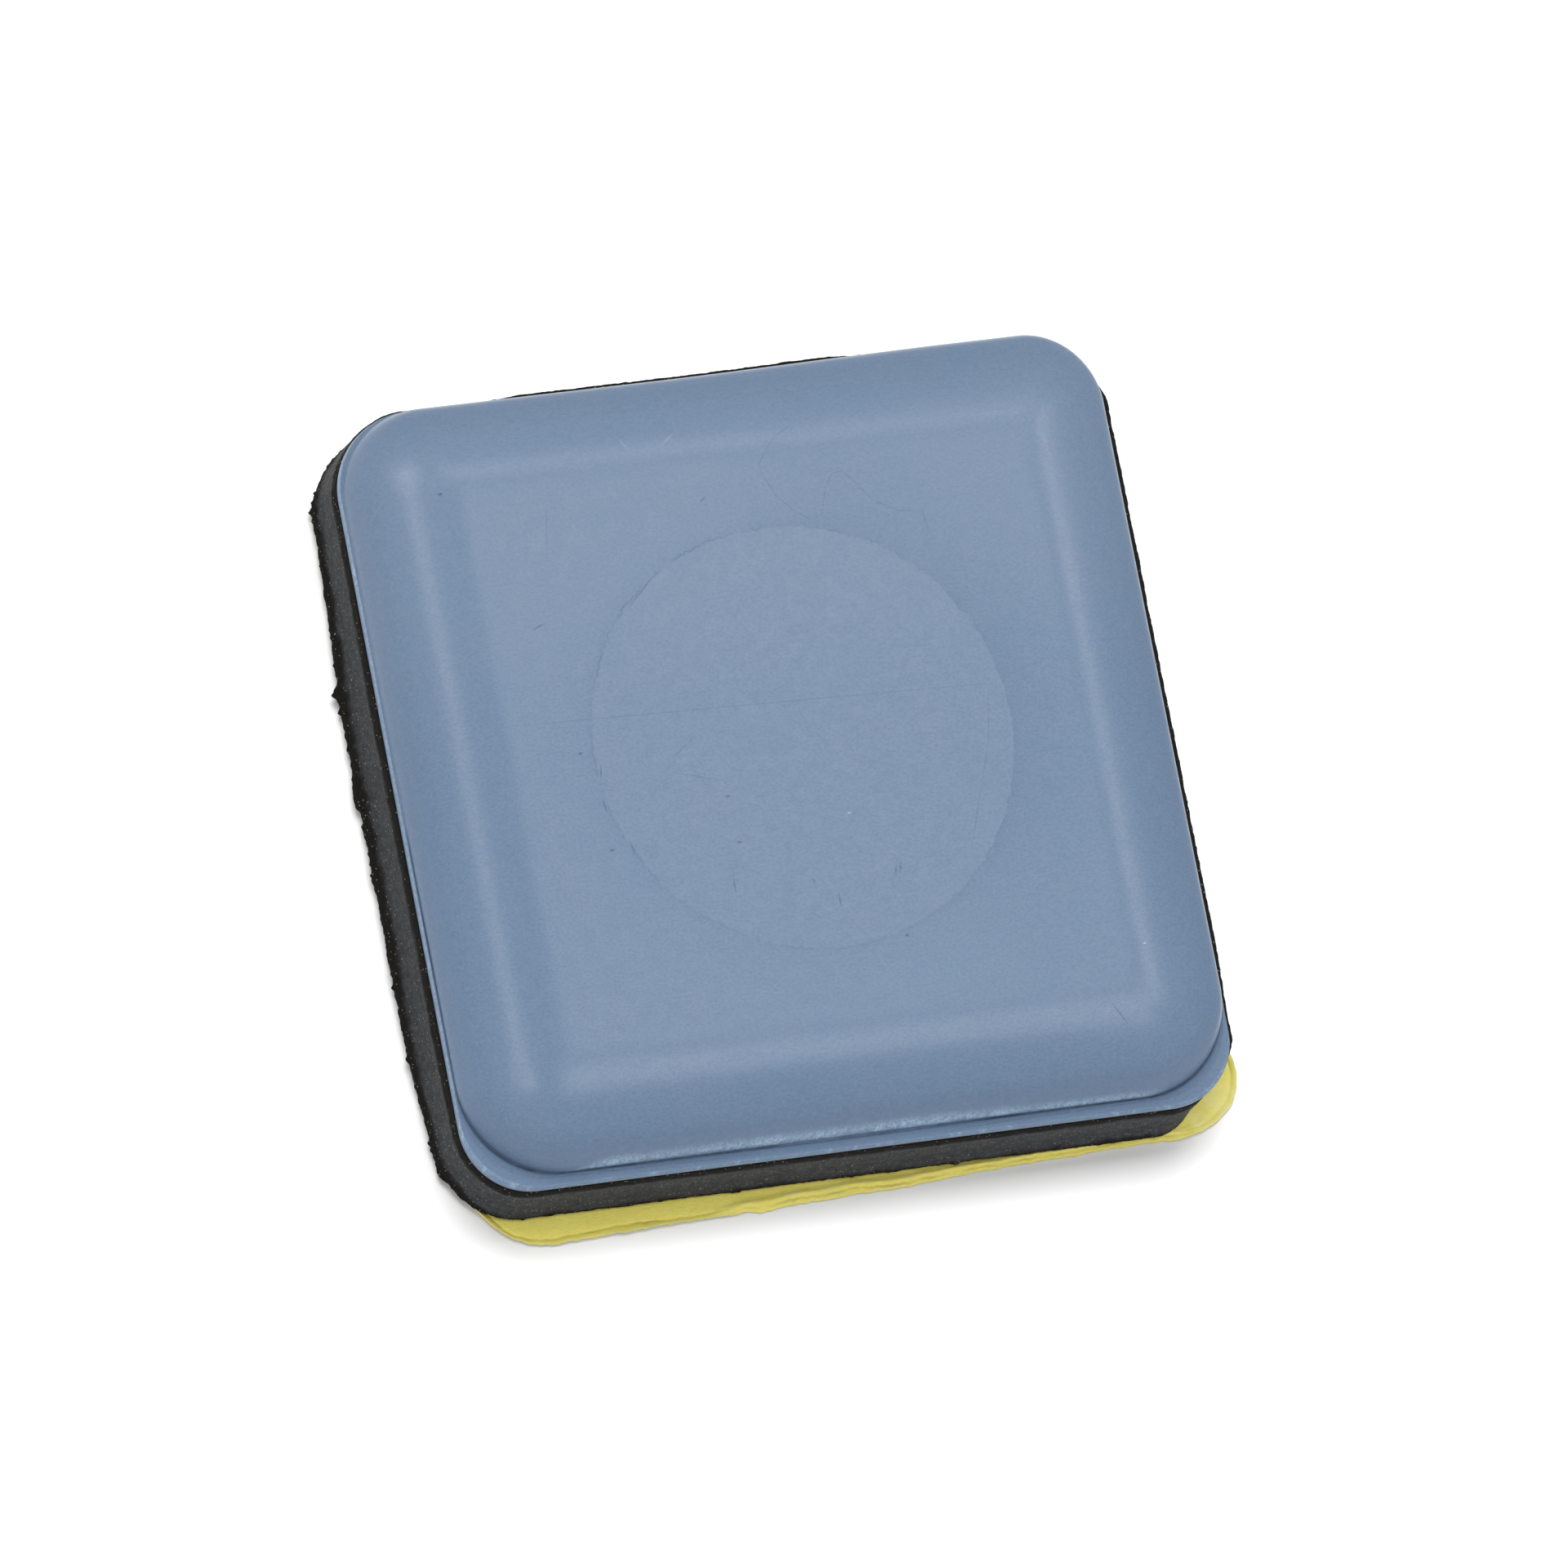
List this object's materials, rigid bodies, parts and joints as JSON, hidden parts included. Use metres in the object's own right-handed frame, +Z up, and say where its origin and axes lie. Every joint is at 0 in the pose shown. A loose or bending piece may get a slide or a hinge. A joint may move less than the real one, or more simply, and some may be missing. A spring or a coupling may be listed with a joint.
{
  "type": "furniture slider",
  "caption": "Square self-adhesive furniture slider: a domed low-friction cap bonded to a black rubber core, with mounting tape and a yellow release liner.",
  "frame": {"origin": "on the surface under the release liner, on the slider's own axis", "axes": "+Z up through the glide face; +X and +Y along the sides of the square, +Y to the back of the picture's view"},
  "size_m": [0.0314, 0.0321, 0.0059],
  "materials": {
    "cap_plastic": "satin low-friction sheet, blue-grey",
    "bond_adhesive": "dull black adhesive film",
    "cell_rubber": "matt black die-cut cellular rubber",
    "tape_glue": "tacky pale adhesive",
    "tape_film": "smooth carrier film",
    "liner_paper": "yellow release paper, crinkled at its edge"
  },
  "bodies": {
    "base": {"rubber_core": "cell_rubber", "inner_adhesive": "tape_glue", "tape_carrier": "tape_film", "mount_adhesive": "tape_glue"},
    "glide": {"glide_cap": "cap_plastic", "bond_film": "bond_adhesive"},
    "liner": {"release_liner": "liner_paper"}
  },
  "joints": [
    {"name": "cap_press", "type": "slide", "parent": "base", "child": "glide", "axis": [0, 0, -1], "range_m": [0, 0.0004], "stiffness_N_per_m": 400000, "deforming": ["rubber_core"]},
    {"name": "liner_peel", "type": "slide", "parent": "base", "child": "liner", "axis": [0, -1, 0], "range_m": [0, 0.036]}
  ]
}
